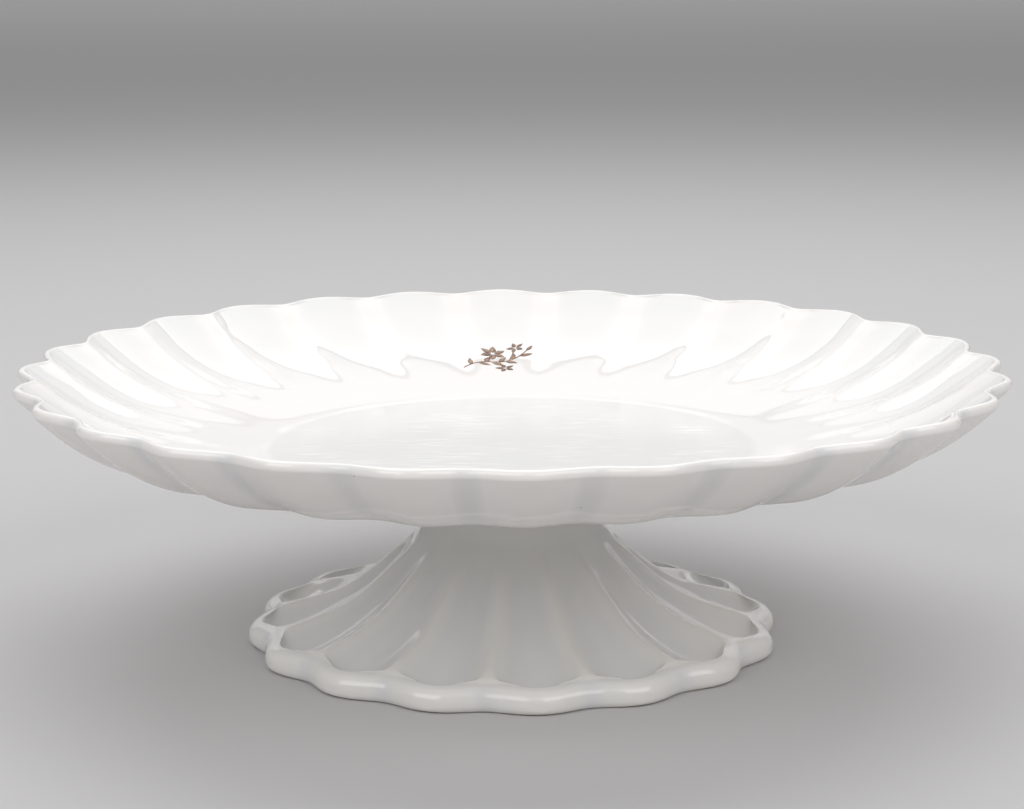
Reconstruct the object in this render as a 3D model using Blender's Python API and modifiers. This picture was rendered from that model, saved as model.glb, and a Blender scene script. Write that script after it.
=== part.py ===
"""A scalloped ironstone cake stand: a fluted dish stuck with slip to a hollow fluted pedestal.

The dish and the pedestal are pressed from clay in moulds, so each is a turned shape whose rings are pushed
in towards evenly spaced ridges. Metres, +Z up, origin under the middle of the foot, at table height.
"""

import math

import bmesh
import bpy
from mathutils import Vector
from mathutils.geometry import interpolate_bezier

MM = 0.001
GAP = 0.3 * MM  # clearance between pieces that touch

# Dish: driving dimensions
RIM_RADIUS = 145.0 * MM
RIM_HEIGHT = 83.3 * MM
FLOOR_RADIUS = 70.0 * MM
FLOOR_HEIGHT = 58.6 * MM
FLOOR_THICKNESS = 4.6 * MM
LIP_RADIUS = 1.6 * MM  # half the wall at the rim, which ends in a full round
DISH_FLUTES = 28
DISH_TURN = math.radians(8.07)  # from +X to the nearest ridge
RIM_NOTCH = 5.5 * MM  # how far a ridge draws the rim in
RIDGE_RISE = 1.5 * MM  # how far a ridge stands up halfway down the wall
FLUTE_START = 88.0 * MM  # radius where the flutes run out on the floor

# Pedestal: driving dimensions
FOOT_RADIUS = 79.0 * MM
FOOT_BAND = 7.1 * MM  # height of the scalloped band round the foot
BAND_EDGE = 1.9 * MM  # rounding of its upper edge
FOOT_NOTCH = 3.6 * MM  # how far a ridge draws the band in
NECK_RADIUS = 26.0 * MM
NECK_HEIGHT = 44.0 * MM
FOOT_FLUTES = 16
FOOT_TURN = math.radians(14.47)
FLUTE_DEPTH = 3.6 * MM
WALL = 4.0 * MM

# Joint and print: driving dimensions
FILLET_RADIUS = 8.0 * MM  # hollow fillet of slip outside the neck
COIL_RADIUS = 2.9 * MM
PRINT_CENTRE = (-4.0 * MM, 107.5 * MM)
PRINT_HALF_SIZE = (14.0 * MM, 16.0 * MM)
PRINT_THICKNESS = 0.6 * MM

# Places that the walls pass through, as radius and height in millimetres, with the slope at each
FLOOR_EDGE_SLOPE = 0.02
SHOULDER, SHOULDER_SLOPE = (100.0, 62.9), 0.2
BEND, BEND_SLOPE = (119.0, 67.0), 0.36
LIP_SLOPE = 0.98
WAIST, WAIST_SLOPE = (30.8, 28.8), -1.3
SKIRT, SKIRT_SLOPE = (50.0, 11.6), -0.66
POCKET, POCKET_SLOPE = (67.0, 4.7), -0.1
BAND_INSIDE = [(71.5, 5.0), (74.2, 6.4)]
BAND_FOOT = [(79.0, 3.2), (78.3, 0.7), (77.6, 0.0)]
HOLLOW_FOOT = [(69.5, 0.0), (68.3, 0.9), (62.0, 2.0)]
HOLLOW_SKIRT, HOLLOW_WAIST = (47.0, 8.2), (26.5, 27.6)

SEGMENTS_PER_DISH_FLUTE = 4
SEGMENTS_PER_FOOT_FLUTE = 6
JOINT_SEGMENTS = 48
PRINT_SEGMENTS = 20
SHARP_FROM = math.radians(40)

DISH_UNDERSIDE = FLOOR_HEIGHT - FLOOR_THICKNESS
PEDESTAL_TOP = DISH_UNDERSIDE - GAP


def clear_scene():
    """Remove whatever the scene holds."""
    for old in list(bpy.data.objects):
        bpy.data.objects.remove(old, do_unlink=True)


def glaze(name, color, roughness):
    """A plain ceramic material of one colour (linear RGB)."""
    material = bpy.data.materials.new(name)
    material.use_nodes = True
    shader = material.node_tree.nodes["Principled BSDF"]
    shader.inputs["Base Color"].default_value = (*color, 1.0)
    shader.inputs["Roughness"].default_value = roughness
    shader.inputs["Metallic"].default_value = 0.0
    return material


def millimetres(pairs):
    """Radius and height pairs in millimetres as points of a profile in the XZ plane."""
    return [Vector((radius * MM, 0.0, height * MM)) for radius, height in pairs]


def curve_through(start, start_slope, end, end_slope, count):
    """Points after the first on a curve between two points that leaves and arrives at the given slopes."""
    reach = (end.x - start.x) / 3
    leave = start + Vector((reach, 0.0, reach * start_slope))
    arrive = end - Vector((reach, 0.0, reach * end_slope))
    return interpolate_bezier(start, leave, arrive, end, count + 1)[1:]


def arc(centre, radius, first_deg, last_deg, count):
    """Points on an arc in the XZ plane, both ends included."""
    points = []
    for i in range(count):
        angle = math.radians(first_deg + (last_deg - first_deg) * i / (count - 1))
        points.append(centre + Vector((radius * math.cos(angle), 0.0, radius * math.sin(angle))))
    return points


def turned_mesh(name, profile, segments, closed_loop=False):
    """The mesh that a profile sweeps round the Z axis with a Screw modifier."""
    mesh = bpy.data.meshes.new(name)
    edges = [(i, i + 1) for i in range(len(profile) - 1)]
    if closed_loop:
        edges.append((len(profile) - 1, 0))
    mesh.from_pydata(profile, edges, [])
    blank = bpy.data.objects.new(name, mesh)
    bpy.context.scene.collection.objects.link(blank)
    screw = blank.modifiers.new("turn", "SCREW")
    screw.steps = segments
    screw.render_steps = segments
    screw.use_merge_vertices = True
    screw.merge_threshold = 0.00005
    graph = bpy.context.evaluated_depsgraph_get()
    turned = bpy.data.meshes.new_from_object(blank.evaluated_get(graph))
    bpy.data.objects.remove(blank, do_unlink=True)
    turned.name = name
    return turned


def smooth_step(value, low, high):
    """0 below low, 1 above high, and an S-curve between them."""
    share = min(max((value - low) / (high - low), 0.0), 1.0)
    return share * share * (3.0 - 2.0 * share)


def ridge_share(angle, flutes, softness):
    """1 on a ridge and 0 in the middle of a flute; a small softness gives a narrow ridge."""
    across = abs(math.sin(angle * flutes / 2))
    rounded = math.sqrt(across * across + softness * softness) - softness
    return 1.0 - rounded / (math.sqrt(1.0 + softness * softness) - softness)


def press_flutes(mesh, flutes, shift_at):
    """Move every vertex by shift_at(radius, height), which gives its ridge's inward and upward move."""
    for vertex in mesh.vertices:
        radius = math.hypot(vertex.co.x, vertex.co.y)
        inward, upward, softness = shift_at(radius, vertex.co.z)
        if radius == 0.0 or (inward == 0.0 and upward == 0.0):
            continue
        share = ridge_share(math.atan2(vertex.co.y, vertex.co.x), flutes, softness)
        scale = 1.0 - inward * share / radius
        vertex.co = (vertex.co.x * scale, vertex.co.y * scale, vertex.co.z + upward * share)


def add_part(name, mesh, material, turn=0.0):
    """Put a finished mesh in the object's collection as a named part."""
    part = bpy.data.objects.new(name, mesh)
    part.rotation_euler.z = turn
    part.data.materials.append(material)
    part.data.shade_smooth()
    part.data.set_sharp_from_angle(angle=SHARP_FROM)
    parts.objects.link(part)
    return part


def wall_line(drop):
    """The wall from the floor's edge to the rim; drop lowers it to give the underside."""
    lip = Vector((RIM_RADIUS - LIP_RADIUS, 0.0, RIM_HEIGHT - LIP_RADIUS))
    side = Vector((-LIP_RADIUS, 0.0, LIP_RADIUS)) * math.sqrt(0.5)
    floor_edge = Vector((FLOOR_RADIUS, 0.0, FLOOR_HEIGHT - drop))
    shoulder, bend = millimetres([SHOULDER, BEND])
    lift = Vector((0.0, 0.0, drop * 0.95))
    top = lip - side if drop else lip + side
    line = [floor_edge]
    line += curve_through(floor_edge, FLOOR_EDGE_SLOPE, shoulder - lift, SHOULDER_SLOPE, 3)
    line += curve_through(shoulder - lift, SHOULDER_SLOPE, bend - lift, BEND_SLOPE, 2)
    line += curve_through(bend - lift, BEND_SLOPE, top, LIP_SLOPE, 5)
    return line, lip


def dish_profile():
    """From the middle of the floor out over the rim and back under to the middle."""
    inside, lip = wall_line(0.0)
    outside, _ = wall_line(FLOOR_THICKNESS)
    middle = Vector((0.0, 0.0, FLOOR_HEIGHT))
    rounded_lip = arc(lip, LIP_RADIUS, 135, -45, 5)[1:-1]
    under = Vector((0.0, 0.0, DISH_UNDERSIDE))
    return [middle] + inside + rounded_lip + outside[::-1] + [under]


def dish_ridge(radius, _height):
    """How far the ridge at this radius moves in and up: nothing on the floor, most at the rim."""
    if radius <= FLUTE_START:
        return 0.0, 0.0, 1.0
    out = min((radius - FLUTE_START) / (RIM_RADIUS - FLUTE_START), 1.0)
    return RIM_NOTCH * out**1.5, RIDGE_RISE * math.sin(math.pi * out) ** 2, 0.3


def make_dish(material):
    """The scalloped dish, flat inside and fluted from the floor up to the rim."""
    mesh = turned_mesh("dish", dish_profile(), DISH_FLUTES * SEGMENTS_PER_DISH_FLUTE)
    press_flutes(mesh, DISH_FLUTES, dish_ridge)
    return add_part("dish", mesh, material, DISH_TURN)


def flare_line():
    """The bottom of a pedestal flute, from the top of the neck down to the pocket behind the foot band."""
    neck = Vector((NECK_RADIUS, 0.0, NECK_HEIGHT))
    top = Vector((NECK_RADIUS + 2.4 * MM, 0.0, PEDESTAL_TOP))
    waist, skirt, pocket = millimetres([WAIST, SKIRT, POCKET])
    below_neck = neck - Vector((0.0, 0.0, 6.0 * MM))
    above_waist = waist + Vector((-3.0 * MM, 0.0, 4.2 * MM))
    line = [top, (top + neck) / 2 - Vector((0.6 * MM, 0.0, 0.0)), neck]
    line += interpolate_bezier(neck, below_neck, above_waist, waist, 4)[1:]
    line += curve_through(waist, WAIST_SLOPE, skirt, SKIRT_SLOPE, 4)
    line += curve_through(skirt, SKIRT_SLOPE, pocket, POCKET_SLOPE, 4)
    return line


def band_line():
    """Up out of the pocket, over the rounded edge of the foot band and down to the table."""
    edge_centre = Vector((FOOT_RADIUS - BAND_EDGE, 0.0, FOOT_BAND - BAND_EDGE))
    line = millimetres(BAND_INSIDE)
    line += arc(edge_centre, BAND_EDGE, 110, 5, 4)
    line += millimetres(BAND_FOOT)
    return line


def hollow_line():
    """The inside of the pedestal from the foot ring up to the open top of the neck."""
    throat = (NECK_RADIUS - WALL) / MM
    neck = NECK_HEIGHT / MM
    inside = millimetres(HOLLOW_FOOT)
    skirt, waist = millimetres([HOLLOW_SKIRT, HOLLOW_WAIST])
    inside += curve_through(inside[-1], -0.2, skirt, SKIRT_SLOPE, 2)
    inside += curve_through(skirt, SKIRT_SLOPE, waist, -1.6, 4)
    inside += millimetres([(throat, neck - 2.0), (throat + 1.5, PEDESTAL_TOP / MM)])
    return inside


def pedestal_ridge(radius, height):
    """How far the ridge at this place of the outer side moves in and up."""
    drawn_in = smooth_step(radius, 58.0 * MM, 76.0 * MM)
    if radius > 75.0 * MM and height < FOOT_BAND - BAND_EDGE:
        return FOOT_NOTCH, 0.0, 0.32
    grown = smooth_step(radius, 26.0 * MM, 50.0 * MM)
    run_out = smooth_step(radius, 68.0 * MM, 77.0 * MM)
    return FOOT_NOTCH * drawn_in, FLUTE_DEPTH * grown * (1.0 - 0.85 * run_out), 0.3


def make_pedestal(material):
    """The hollow flared pedestal, open underneath, with a scalloped band round its foot."""
    outside = flare_line() + band_line()
    hollow = hollow_line()
    segments = FOOT_FLUTES * SEGMENTS_PER_FOOT_FLUTE
    mesh = turned_mesh("pedestal", outside + hollow, segments, closed_loop=True)

    def shift_at(radius, height):
        smooth_inside = any(
            abs(point.x - radius) < 0.01 * MM and abs(point.z - height) < 0.01 * MM for point in hollow
        )
        return (0.0, 0.0, 1.0) if smooth_inside else pedestal_ridge(radius, height)

    press_flutes(mesh, FOOT_FLUTES, shift_at)
    return add_part("pedestal", mesh, material, FOOT_TURN)


def make_luting_ring(material):
    """The slip that sticks the pedestal to the dish, wiped to a hollow fillet outside the neck."""
    top = PEDESTAL_TOP
    neck = flare_line()[:3]
    inner = [point + Vector((GAP * 1.2, 0.0, 0.0)) for point in neck]
    fillet_centre = Vector((NECK_RADIUS + 1.1 * FILLET_RADIUS, 0.0, top - 1.01 * FILLET_RADIUS))
    outside = arc(fillet_centre, FILLET_RADIUS, 85, 172, 7)
    outside[0].z = top - 0.6 * MM
    rim = Vector((outside[0].x, 0.0, top))
    profile = [inner[0], rim] + outside + [inner[2] + Vector((0.0, 0.0, 1.2 * MM)), inner[1]]
    mesh = turned_mesh("luting_ring", profile, JOINT_SEGMENTS, closed_loop=True)
    return add_part("luting_ring", mesh, material)


def make_inner_coil(material):
    """The roll of clay pressed into the corner between the neck and the dish, inside."""
    throat = NECK_RADIUS - WALL
    centre = Vector((throat + 0.8 * MM - COIL_RADIUS, 0.0, PEDESTAL_TOP - COIL_RADIUS))
    profile = arc(centre, COIL_RADIUS, 90, -245, 10)
    mesh = turned_mesh("inner_coil", profile, JOINT_SEGMENTS, closed_loop=True)
    return add_part("inner_coil", mesh, material)


def dish_wall_height(dish, x, y):
    """Height of the dish's upper surface over a point given in the dish's own axes."""
    above = Vector((x, y, 2 * RIM_HEIGHT))
    _, place, _, _ = dish.ray_cast(above, Vector((0.0, 0.0, -1.0)))
    return place.z


def make_transfer_print(dish, material):
    """The patch that the underglaze print covers, as a thin skin that follows the back wall of the dish."""
    skin = bmesh.new()
    bmesh.ops.create_circle(skin, cap_ends=True, radius=1.0, segments=PRINT_SEGMENTS)
    bmesh.ops.inset_individual(skin, faces=skin.faces[:], thickness=0.45)
    bmesh.ops.poke(skin, faces=[face for face in skin.faces if len(face.verts) > 4])
    into_dish = dish.matrix_basis.inverted()
    for vertex in skin.verts:
        x = PRINT_CENTRE[0] + PRINT_HALF_SIZE[0] * vertex.co.x
        y = PRINT_CENTRE[1] + PRINT_HALF_SIZE[1] * vertex.co.y
        local = into_dish @ Vector((x, y, 0.0))
        vertex.co = (x, y, dish_wall_height(dish, local.x, local.y) + 2 * GAP)
    upper = bmesh.ops.extrude_face_region(skin, geom=skin.faces[:])
    raised = [item for item in upper["geom"] if isinstance(item, bmesh.types.BMVert)]
    bmesh.ops.translate(skin, vec=(0.0, 0.0, PRINT_THICKNESS), verts=raised)
    bmesh.ops.recalc_face_normals(skin, faces=skin.faces[:])
    bmesh.ops.triangulate(skin, faces=skin.faces[:])
    mesh = bpy.data.meshes.new("transfer_print")
    skin.to_mesh(mesh)
    skin.free()
    return add_part("transfer_print", mesh, material)


clear_scene()
parts = bpy.data.collections.new("cake_stand")
bpy.context.scene.collection.children.link(parts)

white_glaze = glaze("white_glaze", (0.80, 0.79, 0.77), 0.12)
shaded_glaze = glaze("pedestal_glaze", (0.76, 0.75, 0.72), 0.14)
slip = glaze("glazed_slip", (0.74, 0.72, 0.69), 0.2)
coil_clay = glaze("coil_clay", (0.70, 0.68, 0.63), 0.35)
brown_print = glaze("brown_underglaze", (0.16, 0.07, 0.04), 0.2)

dish_part = make_dish(white_glaze)
make_pedestal(shaded_glaze)
make_luting_ring(slip)
make_inner_coil(coil_clay)
bpy.context.view_layer.update()
make_transfer_print(dish_part, brown_print)
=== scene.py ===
"""The looks of a scalloped ironstone cake stand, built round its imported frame.

The stand is pressed earthenware under a clear lead glaze: a fluted dish stuck with slip to a hollow fluted
pedestal, with a small brown underglaze print on the back wall. Each wall is turned as a plain blank and then
pressed, which moves its rings from the bottom of the flutes to the crest of the ridges. Metres, +Z up.
"""

from __future__ import annotations

import logging
import math
from dataclasses import dataclass
from enum import Enum

import bpy
import numpy as np
from mathutils import Matrix, Vector, noise
from mathutils.bvhtree import BVHTree


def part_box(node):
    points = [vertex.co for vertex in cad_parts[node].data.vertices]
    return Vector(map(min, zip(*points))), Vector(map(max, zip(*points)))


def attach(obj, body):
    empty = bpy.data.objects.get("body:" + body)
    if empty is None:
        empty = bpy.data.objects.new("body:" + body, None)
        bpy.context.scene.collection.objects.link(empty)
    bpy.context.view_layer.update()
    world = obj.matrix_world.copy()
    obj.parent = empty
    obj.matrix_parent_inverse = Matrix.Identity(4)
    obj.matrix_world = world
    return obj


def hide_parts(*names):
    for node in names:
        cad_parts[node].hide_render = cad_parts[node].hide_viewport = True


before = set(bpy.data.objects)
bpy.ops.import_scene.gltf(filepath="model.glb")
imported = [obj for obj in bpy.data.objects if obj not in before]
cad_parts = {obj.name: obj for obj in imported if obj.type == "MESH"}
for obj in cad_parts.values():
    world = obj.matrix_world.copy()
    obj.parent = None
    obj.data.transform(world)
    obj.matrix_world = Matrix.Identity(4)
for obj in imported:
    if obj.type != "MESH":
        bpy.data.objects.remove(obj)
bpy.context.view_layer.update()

MM = 0.001
TAU = 2.0 * math.pi
WELD = 0.002 * MM
BODY = "root"
log = logging.getLogger("cake_stand")

Key = tuple[float, ...]
Link = bpy.types.NodeSocket | float | tuple


class Slot(Enum):
    """The record's material slots."""

    GLAZE = "white_glaze"
    SLIP = "glazed_slip"
    PRINT = "brown_underglaze_print"


class Skin(Enum):
    """Which of a wall's two materials a face takes."""

    GLAZED = 0
    BISCUIT = 1


class Side(Enum):
    """A side of the studio, as the sign of X."""

    LEFT = -1
    RIGHT = 1


# ---------------------------------------------------------------- bench work


def clear_selection() -> None:
    """Leave edit mode and deselect everything, the frame's own nodes included."""
    if bpy.context.object and bpy.context.object.mode != "OBJECT":
        bpy.ops.object.mode_set(mode="OBJECT")
    bpy.ops.object.select_all(action="DESELECT")


def take(piece: bpy.types.Object) -> None:
    """Make a piece the only selected and active one.

    Args:
        piece: the piece to work on next.
    """
    clear_selection()
    piece.select_set(True)
    bpy.context.view_layer.objects.active = piece


def positions(mesh: bpy.types.Mesh) -> np.ndarray:
    """The mesh's vertex positions.

    Args:
        mesh: the mesh to read.

    Returns:
        Rows of x, y and z.
    """
    flat = np.empty(len(mesh.vertices) * 3, np.float32)
    mesh.vertices.foreach_get("co", flat)
    return flat.reshape(-1, 3).astype(float)


def move_to(mesh: bpy.types.Mesh, places: np.ndarray) -> None:
    """Put the mesh's vertices at new positions."""
    mesh.vertices.foreach_set("co", places.astype(np.float32).ravel())
    mesh.update()


def point_normals(mesh: bpy.types.Mesh) -> np.ndarray:
    """The mesh's vertex normals.

    Args:
        mesh: the mesh to read.

    Returns:
        Rows of x, y and z.
    """
    flat = np.empty(len(mesh.vertices) * 3, np.float32)
    mesh.vertex_normals.foreach_get("vector", flat)
    return flat.reshape(-1, 3).astype(float)


def point_values(mesh: bpy.types.Mesh, name: str) -> np.ndarray:
    """One float attribute of the mesh's points.

    Args:
        mesh: the mesh to read.
        name: the attribute's name.

    Returns:
        The value at each point.
    """
    values = np.empty(len(mesh.vertices), np.float32)
    mesh.attributes[name].data.foreach_get("value", values)
    return values.astype(float)


def set_point_values(mesh: bpy.types.Mesh, name: str, values: np.ndarray) -> None:
    """Store an array as a float attribute of the mesh's points."""
    layer = mesh.attributes.get(name) or mesh.attributes.new(name, "FLOAT", "POINT")
    layer.data.foreach_set("value", values.astype(np.float32))


def dress(piece: bpy.types.Object, name: str, slot: Slot, *finishes: bpy.types.Material) -> None:
    """Name a finished piece, shade it smooth, give it its materials and let it ride on the stand.

    Args:
        piece: the finished mesh object, at the origin.
        name: its name.
        slot: the record's slot that its finish belongs to; not used.
        finishes: its materials, in the order of Skin.
    """
    take(piece)
    piece.name = name
    piece.data.name = name
    piece.data.materials.clear()
    for finish in finishes:
        piece.data.materials.append(finish)
    bpy.ops.object.shade_smooth()
    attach(piece, BODY)
    log.info("%s: %d vertices, %d faces", name, len(piece.data.vertices), len(piece.data.polygons))


# ---------------------------------------------------------------- turned and pressed walls


def natural_spline(at: np.ndarray, values: np.ndarray, where: np.ndarray) -> np.ndarray:
    """Values on a smooth curve through given ones, straight at its two ends.

    Args:
        at: rising places along the curve.
        values: the value at each place.
        where: the places to read.

    Returns:
        The curve's value at each place asked for.
    """
    gap = np.diff(at)
    size = len(at)
    system = np.eye(size)
    right = np.zeros(size)
    for i in range(1, size - 1):
        system[i, i - 1 : i + 2] = gap[i - 1], 2.0 * (gap[i - 1] + gap[i]), gap[i]
        slopes = np.diff(values[i - 1 : i + 2]) / gap[i - 1 : i + 1]
        right[i] = 6.0 * (slopes[1] - slopes[0])
    bend = np.linalg.solve(system, right)
    i = np.clip(np.searchsorted(at, where) - 1, 0, size - 2)
    up, down = where - at[i], at[i + 1] - where
    cubic = (bend[i] * down**3 + bend[i + 1] * up**3) / (6.0 * gap[i])
    start = (values[i] / gap[i] - bend[i] * gap[i] / 6.0) * down
    end = (values[i + 1] / gap[i] - bend[i + 1] * gap[i] / 6.0) * up
    return cubic + start + end


def smooth_run(keys: list[Key], per_gap: int) -> np.ndarray:
    """Stations along one smooth stretch of a wall.

    Args:
        keys: places it passes through in millimetres: radius and height in the middle of a flute, radius
            and height on the ridge, the ridge's softness, and the share of a flute that is flat-topped ridge.
        per_gap: stations for each gap between two keys.

    Returns:
        Rows in the order of a key, in metres, both ends included.
    """
    table = np.array(keys, float)
    table[:, :4] *= MM
    at = np.concatenate(([0.0], np.cumsum(np.linalg.norm(np.diff(table[:, :4], axis=0), axis=1))))
    gaps = [np.linspace(a, b, per_gap, endpoint=False) for a, b in zip(at, at[1:])]
    where = np.concatenate(gaps + [at[-1:]])
    rails = [natural_spline(at, table[:, i], where) for i in range(4)]
    return np.column_stack(rails + [np.interp(where, at, table[:, i]) for i in (4, 5)])


def plain(*places: tuple[float, float]) -> list[Key]:
    """Keys of a stretch with no flutes, from radius and height pairs in millimetres."""
    return [(radius, height, radius, height, 1.0, 0.0) for radius, height in places]


def round_edge(
    flute: tuple[float, float], ridge: tuple[float, float], radius: float, angles: tuple, soft: tuple
) -> list[Key]:
    """Keys round an edge that is an arc both in the flute and on the ridge.

    Args:
        flute: the arc's centre in the middle of a flute, as radius and height in millimetres.
        ridge: its centre on the ridge.
        radius: the arc's own radius.
        angles: the angles of its keys above the horizontal, in degrees.
        soft: the ridge's softness at the first and the last key.

    Returns:
        One key for each angle.
    """
    keys = []
    for i, degrees in enumerate(angles):
        out = radius * math.cos(math.radians(degrees))
        up = radius * math.sin(math.radians(degrees))
        softness = soft[0] + (soft[1] - soft[0]) * i / (len(angles) - 1)
        keys.append((flute[0] + out, flute[1] + up, ridge[0] + out, ridge[1] + up, softness, 0.0))
    return keys


RAIL_LAYERS = ("inward", "rise", "softness", "flat_top")


def turn_blank(stations: np.ndarray, columns: int, closed: bool) -> bpy.types.Object:
    """Turn a plain blank whose rings remember how the mould will press them.

    A circle of one vertex for each station is laid along the section, and spun round the stand's axis.

    Args:
        stations: rows from smooth_run.
        columns: vertices round each ring.
        closed: whether the section is a loop; an open one starts and ends on the axis.

    Returns:
        The turned object, whose points carry RAIL_LAYERS.
    """
    clear_selection()
    bpy.ops.mesh.primitive_circle_add(vertices=len(stations), radius=1.0)
    blank = bpy.context.object
    mesh = blank.data
    section = np.column_stack((stations[:, 0], np.zeros(len(stations)), stations[:, 1]))
    move_to(mesh, section)
    inward, rise = stations[:, 0] - stations[:, 2], stations[:, 3] - stations[:, 1]
    for name, values in zip(RAIL_LAYERS, (inward, rise, stations[:, 4], stations[:, 5])):
        set_point_values(mesh, name, values)
    bpy.ops.object.mode_set(mode="EDIT")
    bpy.ops.mesh.select_all(action="DESELECT")
    bpy.ops.object.mode_set(mode="OBJECT")
    if not closed:
        last = len(stations) - 1
        for edge in mesh.edges:
            edge.select = set(edge.vertices) == {0, last}
        bpy.ops.object.mode_set(mode="EDIT")
        bpy.ops.mesh.select_mode(type="EDGE")
        bpy.ops.mesh.delete(type="EDGE")
    bpy.ops.object.mode_set(mode="EDIT")
    bpy.ops.mesh.select_mode(type="VERT")
    bpy.ops.mesh.select_all(action="SELECT")
    bpy.ops.mesh.spin(steps=columns, angle=TAU, center=(0.0, 0.0, 0.0), axis=(0.0, 0.0, 1.0))
    bpy.ops.mesh.select_all(action="SELECT")
    bpy.ops.mesh.remove_doubles(threshold=WELD)
    bpy.ops.mesh.normals_make_consistent(inside=False)
    bpy.ops.object.mode_set(mode="OBJECT")
    return blank


@dataclass(frozen=True)
class FluteMould:
    """A mould that presses a turned blank into flutes.

    Args:
        flutes: how many flutes go round.
        turn: angle from +X to the first ridge, in radians.
        gather: how far the columns crowd towards the ridges, from 0 to below 1.
        sway: how far hand work moves a ridge to either side, in radians.
        uneven: the share by which hand work varies the press round the stand.
        full_press: the press from which a ridge sways in full, in metres.
        full_crest: the height of a ridge from which the glaze runs off it in full.
    """

    flutes: int
    turn: float
    gather: float = 0.62
    sway: float = math.radians(0.22)
    uneven: float = 0.05
    full_press: float = 3.0 * MM
    full_crest: float = 2.5 * MM

    def share(self, across: np.ndarray, softness: np.ndarray, flat_top: np.ndarray) -> np.ndarray:
        """1 on a ridge and 0 in the middle of a flute, with concave arcs between.

        Args:
            across: place across the flute, 0 and 1 on its ridges.
            softness: 0 for a sharp ridge, 1 for a wave.
            flat_top: how much of the flute the ridge's own flat top takes, from 0 to 1.

        Returns:
            The share of each point's own full press.
        """
        off_ridge = 2.0 * np.minimum(across, 1.0 - across)
        off_top = np.clip((off_ridge - flat_top) / np.maximum(1.0 - flat_top, 0.01), 0.0, 1.0)
        height = np.sin(0.5 * math.pi * off_top)
        rounded = np.sqrt(height**2 + softness**2) - softness
        return 1.0 - rounded / (np.sqrt(1.0 + softness**2) - softness)

    def wander(self, angle: np.ndarray) -> np.ndarray:
        """A slow, uneven drift from -1 to 1 round the stand, as handwork leaves it."""
        slow = 0.5 * np.sin(3.0 * angle + 0.7)
        return slow + 0.3 * np.sin(7.0 * angle + 2.1) + 0.2 * np.sin(11.0 * angle + 4.0)

    def press(self, blank: bpy.types.Object) -> None:
        """Press the flutes into a blank, and leave on its points how thick the glaze lies on them, which also
        sets a painted shade in the hollows.

        Args:
            blank: an object from turn_blank.
        """
        mesh = blank.data
        places = positions(mesh)
        inward, rise, softness, flat_top = (point_values(mesh, name) for name in RAIL_LAYERS)
        radius = np.hypot(places[:, 0], places[:, 1])
        angle = np.arctan2(places[:, 1], places[:, 0])
        turns = angle * self.flutes / TAU
        across = turns - np.floor(turns)
        gathered = across - self.gather * np.sin(TAU * across) / TAU
        depth = np.clip(np.hypot(inward, rise) / self.full_press, 0.0, 1.0)
        facing = point_normals(mesh)
        outward = (places[:, 0] * facing[:, 0] + places[:, 1] * facing[:, 1]) / np.maximum(radius, MM)
        crest = np.clip((rise * facing[:, 2] - inward * outward) / self.full_crest, -1.0, 1.0)
        share = self.share(gathered, softness, flat_top)
        pressed = radius - inward * share * (0.97 + self.uneven * self.wander(angle + 1.3))
        swayed = (np.floor(turns) + gathered) * TAU / self.flutes + self.turn
        swayed += self.sway * depth * self.wander(angle)
        places[:, 0] = pressed * np.cos(swayed)
        places[:, 1] = pressed * np.sin(swayed)
        places[:, 2] += rise * share
        move_to(mesh, places)
        # high in hollows: pooled glaze with painted shade; low on crests: thin glaze
        set_point_values(mesh, "glaze_depth_and_shade", 0.5 + crest * (0.4 - 0.9 * share**3))


def settle(piece: bpy.types.Object, reach: float, grain: float, seed: float) -> None:
    """Let a wall's surface roll softly, as pressed clay does under a finger, but keep its foot flat.

    Args:
        piece: the pressed wall.
        reach: the most that a point moves, in metres.
        grain: the size of one swelling, in metres.
        seed: where in the noise to read.
    """
    fine, finer_by, flat_foot = 0.15, 2.7, 3.0 * MM
    mesh = piece.data
    places = positions(mesh)
    offset = Vector((seed, seed * 0.37, seed * 1.7))
    rolled = np.array([noise.noise(vertex.co / grain + offset) for vertex in mesh.vertices])
    small = np.array([noise.noise(vertex.co * finer_by / grain - offset) for vertex in mesh.vertices])
    rolled += fine * small
    free = np.clip(places[:, 2] / flat_foot, 0.0, 1.0)
    places += point_normals(mesh) * (reach * rolled * free)[:, None]
    move_to(mesh, places)


def drop_layers(piece: bpy.types.Object) -> None:
    """Remove the attributes that only the pressing needed."""
    for name in RAIL_LAYERS:
        piece.data.attributes.remove(piece.data.attributes[name])


def keep_inside(piece: bpy.types.Object, node: str) -> None:
    """Hold a piece's points inside the box of the frame's node that it stands for.

    Args:
        piece: the pressed or shaped piece.
        node: the name of the frame's node.
    """
    low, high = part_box(node)
    places = positions(piece.data)
    reach = high[0]
    radius = np.hypot(places[:, 0], places[:, 1])
    scale = np.where(radius > reach, reach / np.maximum(radius, MM), 1.0)
    places[:, :2] *= scale[:, None]
    places[:, 2] = np.clip(places[:, 2], low[2], high[2])
    move_to(piece.data, places)


# ---------------------------------------------------------------- finishes


def linear(colour: str) -> tuple[float, float, float, float]:
    """Turn an sRGB hex colour to linear.

    Args:
        colour: the colour, such as "#f4f2ee".

    Returns:
        Linear red, green, blue and alpha.
    """
    channels = [int(colour[i : i + 2], 16) / 255.0 for i in (1, 3, 5)]
    curve = [c / 12.92 if c <= 0.04045 else ((c + 0.055) / 1.055) ** 2.4 for c in channels]
    return (*curve, 1.0)


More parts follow.
